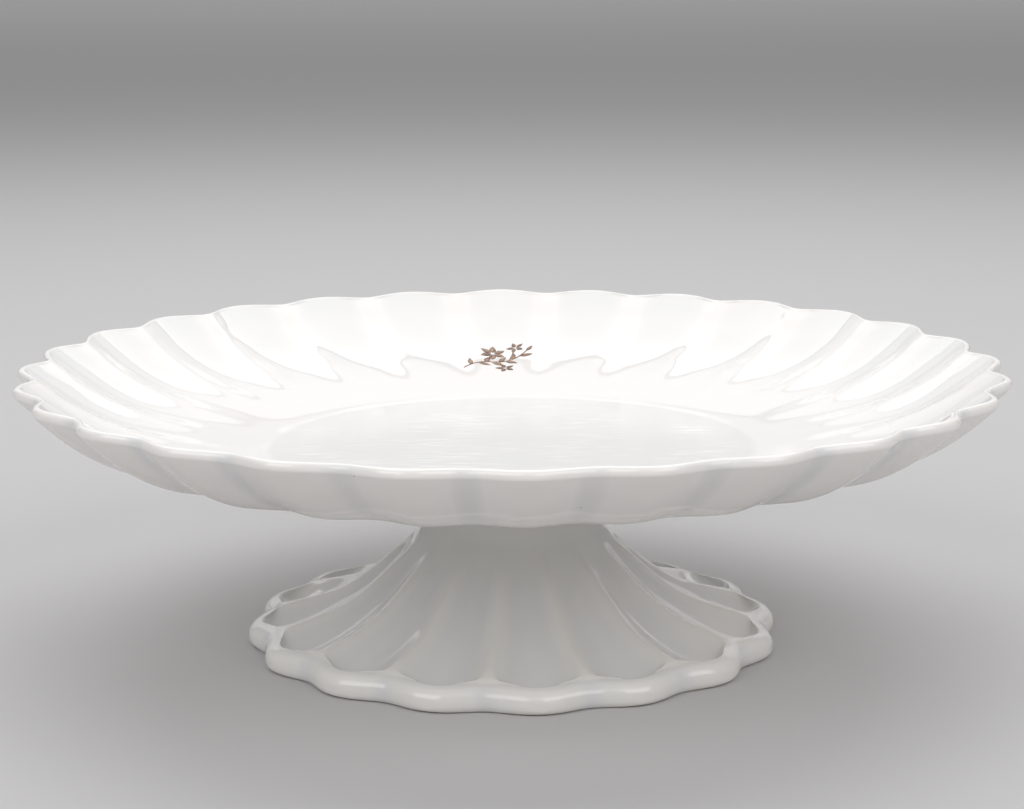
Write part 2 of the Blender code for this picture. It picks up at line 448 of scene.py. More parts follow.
def add_node(
    tree: bpy.types.NodeTree, kind: str, links: dict[str | int, Link] | None = None, **settings: object
) -> bpy.types.Node:
    """Add one node with its settings, and feed its sockets.

    Args:
        tree: the material's tree.
        kind: the node's type, without the ShaderNode at its front.
        links: for each input, by name or number, a socket to link or a value to set.
        settings: the node's own properties.

    Returns:
        The new node.
    """
    node = tree.nodes.new("ShaderNode" + kind)
    for name, value in settings.items():
        setattr(node, name, value)
    for name, value in (links or {}).items():
        if isinstance(value, bpy.types.NodeSocket):
            tree.links.new(value, node.inputs[name])
        else:
            node.inputs[name].default_value = value
    return node


def new_material(name: str) -> tuple[bpy.types.Material, bpy.types.NodeTree, bpy.types.Node]:
    """Make a new material.

    Args:
        name: its name.

    Returns:
        The material, its tree and its Principled shader.
    """
    material = bpy.data.materials.new(name)
    material.use_nodes = True
    tree = material.node_tree
    return material, tree, tree.nodes["Principled BSDF"]


@dataclass(frozen=True)
class LeadGlaze:
    """Clear lead glaze over ironstone, a dense white earthenware, dipped and fired glossy.

    What it gives the eye: a warm white body, a wet gloss, a faint grey in hollows that is partly pooled glaze
    and partly painted shade, ivory where it runs thin on crests, and a scatter of tiny iron specks burnt out
    of the clay.
    With knife marks the floor of the dish is also painted a darker grey, painted shade, under fine scratches.

    Args:
        name: the material's name.
        body: colour of the clay through an even coat.
        pooled_glaze_and_hollow_shade: colour in hollows where the glaze lies thick, partly pooled glaze,
            partly painted shade.
        thin: colour where it is drawn thin.
        worn: darker grey painted on the dish's floor: painted shade for its dimmer reflection, where cutting
            has dulled the glaze.
        knife_marks_and_floor_shade: whether cake knives have dulled the floor with fine scratches, and the
            floor is painted a darker grey as painted shade.
        iron_seed: which scatter of specks this wall has.
    """

    name: str
    body: str = "#f4f2ef"
    # grey of the hollows: partly pooled glaze, partly painted shade
    pooled_glaze_and_hollow_shade: str = "#e9e9e8"
    thin: str = "#f5f1ec"
    # darker grey of the dish's floor: painted shade
    worn: str = "#dfdfdc"
    knife_marks_and_floor_shade: bool = False
    iron_seed: float = 0.0

    gloss: float = 0.06
    dulling: float = 0.08  # how much rougher the worn floor is
    bright: str = "#ffffff"
    iron: str = "#8a5a42"
    speck_cell: float = 11.0 * MM
    speck_size: float = 0.42 * MM
    cloud: float = 45.0 * MM
    ripple: float = 14.0 * MM
    scratch_length: float = 16.0 * MM
    scratch_pitch: float = 0.7 * MM  # coarser than a real scratch, which would not show from arm's length
    wear_patch: float = 30.0 * MM
    floor_radius: float = 73.0 * MM

    def material(self) -> bpy.types.Material:
        """Build the glaze's nodes.

        Returns:
            The material.
        """
        material, tree, shader = new_material(self.name)
        here = add_node(tree, "TexCoord").outputs["Object"]
        clouds = add_node(tree, "TexNoise", {"Vector": here, "Scale": 1.0 / self.cloud, "Detail": 3.0})
        depth = add_node(tree, "Attribute", attribute_name="glaze_depth_and_shade").outputs["Fac"]
        # the grey in hollows is partly the tint of pooled glaze and partly painted shade
        pool_and_shade_share = add_node(tree, "MapRange", {"Value": depth, "From Min": 0.55, "From Max": 0.95}).outputs[0]
        coat = {0: pool_and_shade_share, 6: linear(self.body), 7: linear(self.pooled_glaze_and_hollow_shade)}
        colour = add_node(tree, "Mix", coat, data_type="RGBA").outputs[2]
        drawn = {"Value": depth, "From Min": 0.35, "From Max": 0.08, "To Max": 0.35}
        warm = {"Value": clouds.outputs[0], "From Min": 0.48, "From Max": 0.7, "To Max": 0.5}
        for stretch in (drawn, warm):
            share = add_node(tree, "MapRange", stretch).outputs[0]
            tint = {0: share, 6: colour, 7: linear(self.thin)}
            colour = add_node(tree, "Mix", tint, data_type="RGBA").outputs[2]
        colour = self.add_specks(tree, here, colour)
        if self.knife_marks_and_floor_shade:
            floor = self.on_floor(tree, here, 1.0, 0.965)
            # the floor painted a darker grey is painted shade for its dimmer reflection; the white knife
            # marks over it are wear
            layers = ((floor, 0.8, self.worn), (self.scratches(tree, here), 0.9, self.bright))
            for place, strength, over in layers:
                share = add_node(tree, "Math", {0: place, 1: strength}, operation="MULTIPLY").outputs[0]
                laid = {0: share, 6: colour, 7: linear(over)}
                colour = add_node(tree, "Mix", laid, data_type="RGBA").outputs[2]
            dulled = {0: floor, 1: self.dulling, 2: self.gloss}
            roughness = add_node(tree, "Math", dulled, operation="MULTIPLY_ADD").outputs[0]
            tree.links.new(roughness, shader.inputs["Roughness"])
        else:
            shader.inputs["Roughness"].default_value = self.gloss
        ripples = add_node(tree, "TexNoise", {"Vector": here, "Scale": 1.0 / self.ripple, "Detail": 0.0})
        skin = add_node(tree, "Bump", {"Strength": 0.05, "Distance": 0.6 * MM, "Height": ripples.outputs[0]})
        tree.links.new(colour, shader.inputs["Base Color"])
        tree.links.new(skin.outputs[0], shader.inputs["Normal"])
        shader.inputs["IOR"].default_value = 1.62
        return material

    def add_specks(
        self, tree: bpy.types.NodeTree, here: bpy.types.NodeSocket, colour: bpy.types.NodeSocket
    ) -> bpy.types.NodeSocket:
        """Lay rust-brown iron specks into a colour.

        Args:
            tree: the material's tree.
            here: object coordinates.
            colour: the glaze's colour so far.

        Returns:
            The colour with specks, one in about three cells, each of its own size.
        """
        moved = add_node(tree, "Mapping", {"Vector": here, "Location": (self.iron_seed, 0.0, 0.0)}).outputs[0]
        cells = add_node(tree, "TexVoronoi", {"Vector": moved, "Scale": 1.0 / self.speck_cell})
        luck = add_node(tree, "SeparateColor", {0: cells.outputs["Color"]})
        largest = self.speck_size / self.speck_cell
        sizes = {"Value": luck.outputs[0], "From Min": 0.66, "From Max": 1.0, "To Max": largest}
        size = add_node(tree, "MapRange", sizes).outputs[0]
        apart = cells.outputs["Distance"]
        inside = add_node(tree, "Math", {0: size, 1: apart}, operation="SUBTRACT").outputs[0]
        spot = {"Value": inside, "From Min": 0.0, "From Max": 0.012, "To Max": 0.75}
        share = add_node(tree, "MapRange", spot).outputs[0]
        rust = {0: share, 6: colour, 7: linear(self.iron)}
        return add_node(tree, "Mix", rust, data_type="RGBA").outputs[2]

    def scratches(self, tree: bpy.types.NodeTree, here: bpy.types.NodeSocket) -> bpy.types.NodeSocket:
        """Fine knife marks on the floor of the dish, in three crossing directions.

        Args:
            tree: the material's tree.
            here: object coordinates.

        Returns:
            0 on sound glaze and 1 in a mark.
        """
        total: Link = 0.0
        for number, turn in enumerate((4.0, -17.0, 71.0)):
            drawn = add_node(
                tree,
                "Mapping",
                {
                    "Vector": here,
                    "Rotation": (0.0, 0.0, math.radians(turn)),
                    "Scale": (1.0 / self.scratch_length, 1.0 / self.scratch_pitch, 1.0),
                    "Location": (number * 3.7, 0.0, 0.0),
                },
            ).outputs[0]
            grain = {"Vector": drawn, "Scale": 1.0, "Detail": 1.0}
            streaks = add_node(tree, "TexNoise", grain, noise_dimensions="2D").outputs[0]
            thin = {"Value": streaks, "From Min": 0.66, "From Max": 0.73}
            line = add_node(tree, "MapRange", thin).outputs[0]
            total = add_node(tree, "Math", {0: total, 1: line}, operation="ADD").outputs[0]
        worn = add_node(tree, "TexNoise", {"Vector": here, "Scale": 1.0 / self.wear_patch, "Detail": 2.0})
        patchy = {"Value": worn.outputs[0], "From Min": 0.42, "From Max": 0.62}
        patch = add_node(tree, "MapRange", patchy).outputs[0]
        for place in (patch, self.on_floor(tree, here, 1.0, 0.8)):
            total = add_node(tree, "Math", {0: total, 1: place}, operation="MULTIPLY").outputs[0]
        return total

    def on_floor(
        self, tree: bpy.types.NodeTree, here: bpy.types.NodeSocket, edge: float, full: float
    ) -> bpy.types.NodeSocket:
        """Where the floor of the dish lies, which cutting has worn duller and which is painted a darker grey
        as painted shade.

        Args:
            tree: the material's tree.
            here: object coordinates.
            edge: the share of the floor's radius at which wear starts.
            full: the share at which it is full.

        Returns:
            0 outside the floor and 1 on it.
        """
        across = add_node(tree, "VectorMath", {0: here, 1: (1.0, 1.0, 0.0)}, operation="MULTIPLY").outputs[0]
        radius = add_node(tree, "VectorMath", {0: across}, operation="LENGTH").outputs["Value"]
        fade = {"Value": radius, "From Min": self.floor_radius * edge, "From Max": self.floor_radius * full}
        return add_node(tree, "MapRange", fade).outputs[0]


@dataclass(frozen=True)
class WipedSlip:
    """Slip that stuck the pieces together, wiped with a wet finger and glazed over with them.

    What it gives the eye: the same wet gloss on a slightly greyer, softly pitted and streaked surface.
    """

    name: str = "wiped_slip_under_glaze"
    colour: str = "#e9e6df"
    recess: str = "#d9d5cb"
    pit: float = 2.2 * MM
    streak: float = 9.0 * MM

    def material(self) -> bpy.types.Material:
        """Build the slip's nodes.

        Returns:
            The material.
        """
        material, tree, shader = new_material(self.name)
        here = add_node(tree, "TexCoord").outputs["Object"]
        flat = add_node(tree, "Mapping", {"Vector": here, "Scale": (1.0, 1.0, 4.0)}).outputs[0]
        streaks = add_node(tree, "TexNoise", {"Vector": flat, "Scale": 1.0 / self.streak, "Detail": 4.0})
        pits = add_node(tree, "TexNoise", {"Vector": here, "Scale": 1.0 / self.pit, "Detail": 2.0})
        wiped = {"Value": streaks.outputs[0], "From Min": 0.35, "From Max": 0.65}
        share = add_node(tree, "MapRange", wiped).outputs[0]
        slip = {0: share, 6: linear(self.recess), 7: linear(self.colour)}
        colour = add_node(tree, "Mix", slip, data_type="RGBA").outputs[2]
        bumps = add_node(tree, "Bump", {"Strength": 0.35, "Distance": 0.4 * MM, "Height": pits.outputs[0]})
        tree.links.new(colour, shader.inputs["Base Color"])
        tree.links.new(bumps.outputs[0], shader.inputs["Normal"])
        shader.inputs["Roughness"].default_value = 0.16
        shader.inputs["IOR"].default_value = 1.54
        return material


@dataclass(frozen=True)
class BiscuitRing:
    """Bare fired clay where the glaze was wiped off the standing ring before the kiln.

    What it gives the eye: a matt, sandy cream with grey dirt rubbed in from a hundred years of shelves.
    """

    name: str = "unglazed_biscuit"
    clay: str = "#ded4c1"
    dirt: str = "#9c8f7c"
    grit: float = 0.8 * MM
    smear: float = 12.0 * MM

    def material(self) -> bpy.types.Material:
        """Build the bare clay's nodes.

        Returns:
            The material.
        """
        material, tree, shader = new_material(self.name)
        here = add_node(tree, "TexCoord").outputs["Object"]
        grit = add_node(tree, "TexNoise", {"Vector": here, "Scale": 1.0 / self.grit, "Detail": 3.0})
        smear = add_node(tree, "TexNoise", {"Vector": here, "Scale": 1.0 / self.smear, "Detail": 4.0})
        rubbed = {"Value": smear.outputs[0], "From Min": 0.45, "From Max": 0.75}
        lodged = {"Value": grit.outputs[0], "From Min": 0.55, "From Max": 0.8, "To Max": 0.4}
        colour: Link = linear(self.clay)
        for stretch in (rubbed, lodged):
            share = add_node(tree, "MapRange", stretch).outputs[0]
            dirty = {0: share, 6: colour, 7: linear(self.dirt)}
            colour = add_node(tree, "Mix", dirty, data_type="RGBA").outputs[2]
        grain = add_node(tree, "Bump", {"Strength": 0.5, "Distance": 0.2 * MM, "Height": grit.outputs[0]})
        tree.links.new(colour, shader.inputs["Base Color"])
        tree.links.new(grain.outputs[0], shader.inputs["Normal"])
        shader.inputs["Roughness"].default_value = 0.85
        return material


@dataclass(frozen=True)
class UnderglazePrint:
    """Brown engraved print, transferred on tissue to the biscuit and fired under the glaze.

    What it gives the eye: a crisp warm brown with the glaze's own gloss, patchy where the tissue took badly.
    """

    name: str = "brown_underglaze_transfer"
    dense: str = "#6e4731"
    worn: str = "#b8957a"
    patch: float = 5.0 * MM
    grain: float = 0.6 * MM

    def material(self) -> bpy.types.Material:
        """Build the print's nodes.

        Returns:
            The material.
        """
        material, tree, shader = new_material(self.name)
        here = add_node(tree, "TexCoord").outputs["Object"]
        patches = add_node(tree, "TexNoise", {"Vector": here, "Scale": 1.0 / self.patch, "Detail": 2.0})
        grain = add_node(tree, "TexNoise", {"Vector": here, "Scale": 1.0 / self.grain, "Detail": 1.0})
        patchy = {"Value": patches.outputs[0], "From Min": 0.4, "From Max": 0.72}
        grainy = {"Value": grain.outputs[0], "From Min": 0.5, "From Max": 0.7, "To Max": 0.35}
        colour: Link = linear(self.dense)
        for stretch in (patchy, grainy):
            share = add_node(tree, "MapRange", stretch).outputs[0]
            faded = {0: share, 6: colour, 7: linear(self.worn)}
            colour = add_node(tree, "Mix", faded, data_type="RGBA").outputs[2]
        tree.links.new(colour, shader.inputs["Base Color"])
        shader.inputs["Roughness"].default_value = 0.06
        shader.inputs["IOR"].default_value = 1.54
        return material


@dataclass(frozen=True)
class StudioPaper:
    """Plain matt paper that the stand is set on."""

    name: str = "pale_studio_paper"
    colour: str = "#cac9c9"

    def material(self) -> bpy.types.Material:
        """Build the paper's one flat, matt finish.

        Returns:
            The material.
        """
        material, _, shader = new_material(self.name)
        shader.inputs["Base Color"].default_value = linear(self.colour)
        shader.inputs["Roughness"].default_value = 0.9
        shader.inputs["Specular IOR Level"].default_value = 0.1
        return material


# ---------------------------------------------------------------- the stand


@dataclass
class Dish:
    """The shallow dish, flat in the middle and fluted up to a scalloped rim. Lengths in millimetres."""

    flutes: int = 28
    columns_per_flute: int = 18
    turn: float = math.radians(8.07)
    floor: float = 58.6
    underside: float = 54.0
    lip: float = 1.6
    lip_flute: tuple[float, float] = (143.35, 81.65)
    lip_ridge: tuple[float, float] = (138.6, 81.15)

    def stations(self) -> np.ndarray:
        """The section from the middle of the floor over the rim and back under to the middle.

        Returns:
            Stations for turn_blank.
        """
        floor = plain((0.0, self.floor), (36.0, self.floor), (60.0, self.floor), (69.0, self.floor + 0.05))
        inside = plain((76.5, 59.05)) + [
            (86.0, 60.5, 86.0, 60.55, 0.8, 0.0),
            (97.0, 62.4, 96.9, 62.8, 0.55, 0.0),
            (105.0, 63.9, 104.7, 64.8, 0.38, 0.0),
            (110.0, 65.0, 109.5, 66.2, 0.34, 0.0),
            (115.0, 66.4, 114.2, 68.1, 0.28, 0.0),
            (120.0, 68.3, 118.7, 69.9, 0.24, 0.0),
            (125.0, 70.8, 122.8, 72.0, 0.21, 0.0),
            (130.0, 73.9, 126.9, 74.3, 0.19, 0.0),
            (134.8, 77.2, 130.9, 77.0, 0.18, 0.0),
            (138.8, 80.1, 134.3, 79.9, 0.18, 0.0),
        ]
        angles = (138, 110, 80, 45, 10, -25, -48)
        rim = round_edge(self.lip_flute, self.lip_ridge, self.lip, angles, (0.25, 1.4))
        outside = [
            (140.9, 77.0, 136.8, 76.8, 1.6, 0.0),
            (135.0, 71.9, 131.5, 72.3, 1.6, 0.0),
            (127.6, 66.9, 125.4, 67.9, 1.6, 0.0),
            (121.6, 63.9, 120.4, 65.1, 1.6, 0.0),
            (118.0, 62.6, 117.3, 63.6, 1.6, 0.0),
            (113.0, 61.5, 112.8, 62.1, 1.6, 0.0),
            (106.0, 60.2, 106.0, 60.4, 1.6, 0.0),
        ]
        under = plain((96.0, 58.2), (86.0, 56.4), (76.0, 54.9), (66.0, 54.15))
        under += plain((50.0, self.underside), (0.0, self.underside))
        return smooth_run(floor + inside + rim + outside + under, 5)

    def build(self) -> bpy.types.Object:
        """Turn, press and dress the dish.

        Returns:
            The dish.
        """
        wall = turn_blank(self.stations(), self.flutes * self.columns_per_flute, closed=False)
        FluteMould(self.flutes, self.turn).press(wall)
        settle(wall, reach=0.11 * MM, grain=26.0 * MM, seed=4.0)
        drop_layers(wall)
        keep_inside(wall, "dish")
        # the floor is painted a darker grey, painted shade, under its knife marks
        glaze = LeadGlaze("lead_glaze_on_dish", knife_marks_and_floor_shade=True, iron_seed=0.4)
        dress(wall, "dish_body", Slot.GLAZE, glaze.material())
        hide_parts("dish")
        return wall


@dataclass
class Pedestal:
    """The hollow flared pedestal, with spoon-ended flutes and a scalloped foot band. Millimetres."""

    flutes: int = 16
    columns_per_flute: int = 32
    turn: float = math.radians(16.6)
    top: float = 53.7
    ring_outer: float = 77.0
    ring_inner: float = 70.3

    def stations(self) -> np.ndarray:
        """The closed section: down the outside, over the band, across the ring and up the hollow.

        Returns:
            Stations for turn_blank.
        """
        flare = plain((28.3, self.top), (26.7, 49.5), (26.0, 44.5)) + [
            (26.5, 39.0, 26.4, 39.2, 1.0, 0.0),
            (28.1, 34.0, 27.9, 34.5, 1.0, 0.0),
            (31.0, 28.9, 31.0, 30.2, 0.9, 0.0),
            (35.2, 24.0, 35.3, 26.5, 0.7, 0.0),
            (40.2, 19.2, 40.5, 21.9, 0.5, 0.0),
            (45.5, 15.0, 45.9, 17.7, 0.42, 0.0),
            (51.0, 11.5, 51.2, 14.4, 0.3, 0.0),
            (57.0, 8.3, 56.4, 12.2, 0.2, 0.0),
            (62.5, 6.0, 61.0, 10.8, 0.18, 0.0),
            (67.0, 4.8, 64.8, 9.8, 0.18, 0.0),
            (70.0, 4.5, 67.4, 9.1, 0.19, 0.02),
            (72.0, 4.8, 69.2, 8.6, 0.2, 0.05),
            (73.4, 5.6, 70.4, 8.2, 0.23, 0.12),
            (74.4, 6.7, 71.1, 7.8, 0.32, 0.24),
            (75.1, 7.15, 71.7, 7.5, 0.5, 0.36),
        ]
        band = round_edge((74.75, 2.9), (71.35, 3.1), 4.25, (79, 64, 48, 32, 16, 0), (0.6, 0.85)) + [
            (78.9, 1.6, 75.5, 1.7, 0.85, 0.0),
            (78.5, 0.8, 75.1, 0.85, 0.85, 0.0),
            (77.8, 0.3, 74.6, 0.3, 0.8, 0.0),
            (self.ring_outer, 0.0, 73.9, 0.0, 0.8, 0.0),
        ]
        ring = [(self.ring_outer, 0.0, 73.9, 0.0, 0.8, 0.0)] + plain((self.ring_inner, 0.0))
        hollow = plain((self.ring_inner, 0.0), (69.3, 0.35), (68.3, 1.1)) + [
            (65.5, 1.7, 65.4, 2.9, 0.9, 0.0),
            (61.5, 2.6, 61.4, 5.0, 0.8, 0.0),
            (54.5, 5.3, 54.5, 7.8, 0.8, 0.0),
            (47.0, 9.2, 47.1, 11.2, 0.8, 0.0),
            (40.0, 14.0, 40.1, 15.7, 0.8, 0.0),
            (33.3, 20.2, 33.4, 21.4, 0.9, 0.0),
        ] + plain((27.2, 28.0), (23.6, 35.0), (22.1, 42.0), (22.3, 48.0), (23.5, self.top))
        rim = plain((23.5, self.top), (28.3, self.top))
        runs = [smooth_run(flare + band, 3), smooth_run(ring, 4), smooth_run(hollow, 3), smooth_run(rim, 2)]
        return np.concatenate([run[:-1] for run in runs])

    def build(self) -> bpy.types.Object:
        """Turn, press and dress the pedestal.

        Returns:
            The pedestal.
        """
        wall = turn_blank(self.stations(), self.flutes * self.columns_per_flute, closed=True)
        FluteMould(self.flutes, self.turn, gather=0.4).press(wall)
        settle(wall, reach=0.09 * MM, grain=22.0 * MM, seed=9.0)
        drop_layers(wall)
        keep_inside(wall, "pedestal")
        # its pockets take the hollows' grey, partly pooled glaze and partly painted shade
        glaze = LeadGlaze("lead_glaze_on_pedestal", body="#f0efeb", iron_seed=1.7)
        dress(wall, "pedestal_body", Slot.GLAZE, glaze.material(), BiscuitRing().material())
        self.bare_ring(wall)
        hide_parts("pedestal")
        return wall

    def bare_ring(self, wall: bpy.types.Object) -> None:
        """Give the faces of the standing ring the bare clay.

        Args:
            wall: the dressed pedestal.
        """
        straight_down, ring_height = -0.9, 0.2 * MM
        for face in wall.data.polygons:
            if face.normal.z < straight_down and face.center.z < ring_height:
                face.material_index = Skin.BISCUIT.value


@dataclass
class Joint:
    """The slip and the clay roll that hold the pedestal to the dish. Lengths in metres."""

    columns: int = 160
    coil_steps: int = 20
    dents: float = 13.0
    dent_depth: float = 0.9 * MM
    swell: float = 0.10 * MM

    def fillet(self) -> bpy.types.Object:
        """The slip outside the neck, wiped to a hollow fillet.

        Returns:
            The fillet, which stands for the frame's luting ring.
        """
        low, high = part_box("luting_ring")
        outer, top, bottom = high[0] / MM, high[2] / MM, low[2] / MM
        face = plain((outer, top), (outer - 0.1, top - 0.45), (outer - 1.6, top - 0.75))
        face += plain((outer - 4.4, top - 2.0))
        face += plain((outer - 6.8, top - 4.2), (outer - 8.1, top - 6.8), (outer - 8.75, bottom + 0.2))
        back = plain((outer - 8.75, bottom + 0.2), (outer - 8.5, top - 4.5), (outer - 6.6, top))
        lid = plain((outer - 6.6, top), (outer, top))
        stations = np.concatenate([smooth_run(run, 4)[:-1] for run in (face, back, lid)])
        ring = turn_blank(stations, self.columns, closed=True)
        FluteMould(16, 0.0).press(ring)  # a plain section takes no flutes; this only spaces its columns
        drop_layers(ring)
        settle(ring, reach=0.16 * MM, grain=9.0 * MM, seed=2.0)
        keep_inside(ring, "luting_ring")
        dress(ring, "luting_fillet", Slot.SLIP, WipedSlip().material())
        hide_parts("luting_ring")
        return ring

    def coil(self) -> bpy.types.Object:
        """The roll of clay inside the neck, dented by the finger that pressed it home.

        Returns:
            The coil, which stands for the frame's inner coil.
        """
        low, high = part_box("inner_coil")
        roll = (high[2] - low[2]) / 2.0
        clear_selection()
        bpy.ops.mesh.primitive_torus_add(
            major_segments=self.columns,
            minor_segments=self.coil_steps,
            major_radius=high[0] - roll,
            minor_radius=roll,
            location=(0.0, 0.0, low[2] + roll),
        )
        coil = bpy.context.object
        bpy.ops.object.transform_apply(location=True, rotation=True, scale=True)
        places = positions(coil.data)
        angle = np.arctan2(places[:, 1], places[:, 0])
        radius = np.hypot(places[:, 0], places[:, 1])
        free = np.clip((high[0] - radius) / roll, 0.0, 1.0)
        dent = (0.5 + 0.5 * np.cos(angle * self.dents + 0.6 * np.sin(angle * 3.0))) ** 2
        swell = 1.0 + self.swell / radius * free
        push = self.dent_depth * dent * free
        places[:, :2] *= (swell + push / radius)[:, None]
        move_to(coil.data, places)
        settle(coil, reach=0.15 * MM, grain=7.0 * MM, seed=6.0)
        keep_inside(coil, "inner_coil")
        clay = WipedSlip("pressed_clay_coil", "#e4dfd4", "#cfc8ba")
        dress(coil, "inner_clay_coil", Slot.SLIP, clay.material())
        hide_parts("inner_coil")
        return coil

    def build(self) -> None:
        """Build both pieces of the joint."""
        self.fillet()
        self.coil()


@dataclass(frozen=True)
class Flower:
    """One open flower of the print. Millimetres from the print's middle.

    Args:
        step: the point of the main stem that its stalk leaves.
        x: its middle, to the right.
        y: its middle, up the wall.
        petals: how many petals it has.
        reach: how long a petal is.
    """

    step: int
    x: float
    y: float
    petals: int
    reach: float


@dataclass
class TransferPrint:
    """A small brown print on the back wall: an open spray of flowers on one bent stem. Millimetres.

    The motif is drawn flat over its place on the wall, and then let down onto the glaze.
    """

    dish: bpy.types.Object
    centre: tuple[float, float] = (-4.0, 107.5)
    stem_from: tuple[float, float] = (-12.0, -8.0)
    stem_to: tuple[float, float] = (9.0, 5.5)
    stem_bend: float = 1.8
    stem_steps: int = 18
    stem_width: float = 0.55
    stalk_width: float = 0.4
    stalk_steps: int = 4
    leaf_size: tuple[float, float] = (4.4, 1.9)
    leaf_lean: float = 50.0
    bud_size: tuple[float, float] = (3.0, 1.8)
    petal_slimness: float = 0.6
    flower_gap: float = 0.18
    lift: float = 0.03
    thickness: float = 0.05
    drop_from: float = 200.0
    weld: float = 0.01
    flowers: tuple[Flower, ...] = (
        Flower(7, -2.5, 5.2, 6, 3.9),
        Flower(13, 5.2, 8.8, 5, 2.6),
        Flower(10, 1.8, -6.6, 5, 2.8),
    )

    def flat_leaf(self, length: float, width: float) -> bpy.types.Object:
        """A pointed leaf lying along +X from the origin.

        Args:
            length: its length in millimetres.
            width: its greatest width.

        Returns:
            The leaf, drawn flat at height zero.
        """
        clear_selection()
        bpy.ops.mesh.primitive_grid_add(x_subdivisions=7, y_subdivisions=2, size=1.0)
        leaf = bpy.context.object
        places = positions(leaf.data)
        along = places[:, 0] + 0.5
        taper = np.sin(math.pi * np.clip(along, 0.02, 0.98)) ** 0.8 * (1.15 - 0.4 * along)
        places[:, 0] = along * length * MM
        places[:, 1] *= taper * width * MM
        move_to(leaf.data, places)
        return leaf

    def flat_ribbon(self, path: list[tuple[float, float]], width: float) -> bpy.types.Object:
        """A thin stem along a path.

        Args:
            path: its points in millimetres from the print's middle.
            width: how wide the stem is.

        Returns:
            The stem, drawn flat in its place.
        """
        clear_selection()
        bpy.ops.mesh.primitive_grid_add(x_subdivisions=len(path) - 1, y_subdivisions=1, size=1.0)
        stem = bpy.context.object
        places = positions(stem.data)
        line = np.array(path) + np.array(self.centre)
        way = np.gradient(line, axis=0)
        way /= np.linalg.norm(way, axis=1)[:, None]
        step = np.rint((places[:, 0] + 0.5) * (len(path) - 1)).astype(int)
        side = np.sign(places[:, 1]) * width / 2.0
        places[:, 0] = (line[step, 0] - way[step, 1] * side) * MM
        places[:, 1] = (line[step, 1] + way[step, 0] * side) * MM
        move_to(stem.data, places)
        return stem

    def placed_copy(self, piece: bpy.types.Object, x: float, y: float, degrees: float) -> bpy.types.Object:
        """A copy of a flat leaf with its own mesh, turned and set down.

        Args:
            piece: the leaf to copy.
            x: where its base goes, from the print's middle.
            y: the same, up the wall.
            degrees: how far it is turned from +X.

        Returns:
            The copy.
        """
        copy = piece.copy()
        copy.data = piece.data.copy()
        bpy.context.scene.collection.objects.link(copy)
        place = Matrix.Translation(Vector(((self.centre[0] + x) * MM, (self.centre[1] + y) * MM, 0.0)))
        copy.data.transform(place @ Matrix.Rotation(math.radians(degrees), 4, "Z"))
        return copy

    def main_stem(self) -> list[tuple[float, float]]:
        """Bend the main stem.

        Returns:
            Its points, from the cut end to the tip.
        """
        path = []
        for i in range(self.stem_steps + 1):
            share = i / self.stem_steps
            x = self.stem_from[0] + (self.stem_to[0] - self.stem_from[0]) * share
            y = self.stem_from[1] + (self.stem_to[1] - self.stem_from[1]) * share
            path.append((x, y + self.stem_bend * math.sin(TAU * share)))
        return path

    def leaves(self, path: list[tuple[float, float]]) -> list[bpy.types.Object]:
        """Leaves by turns on both sides of the stem, and a bud at its tip.

        Args:
            path: the stem's points.

        Returns:
            The leaves and the bud.
        """
        leaf = self.flat_leaf(*self.leaf_size)
        bud = self.flat_leaf(*self.bud_size)
        parts = []
        lean = self.leaf_lean
        for i in range(2, self.stem_steps, 2):
            run = math.atan2(path[i + 1][1] - path[i - 1][1], path[i + 1][0] - path[i - 1][0])
            parts.append(self.placed_copy(leaf, *path[i], math.degrees(run) + lean))
            lean = -lean
        last = math.atan2(path[-1][1] - path[-2][1], path[-1][0] - path[-2][0])
        parts.append(self.placed_copy(bud, *path[-1], math.degrees(last)))
        bpy.data.objects.remove(leaf)
        bpy.data.objects.remove(bud)
        return parts

    def open_flower(self, path: list[tuple[float, float]], flower: Flower) -> list[bpy.types.Object]:
        """An open flower and the stalk that joins it to the stem.

        Args:
            path: the main stem's points.
            flower: the flower to draw.

        Returns:
            The stalk and the petals.
        """
        petal = self.flat_leaf(flower.reach, flower.reach * self.petal_slimness)
        root_x, root_y = path[flower.step]
        stalk = []
        for i in range(self.stalk_steps):
            share = i / self.stalk_steps
            stalk.append((root_x + (flower.x - root_x) * share, root_y + (flower.y - root_y) * share))
        parts = [self.flat_ribbon(stalk, self.stalk_width)]
        gap = flower.reach * self.flower_gap
        for i in range(flower.petals):
            heading = TAU * (i + 0.5) / flower.petals
            x, y = flower.x + gap * math.cos(heading), flower.y + gap * math.sin(heading)
            parts.append(self.placed_copy(petal, x, y, math.degrees(heading)))
        bpy.data.objects.remove(petal)
        return parts

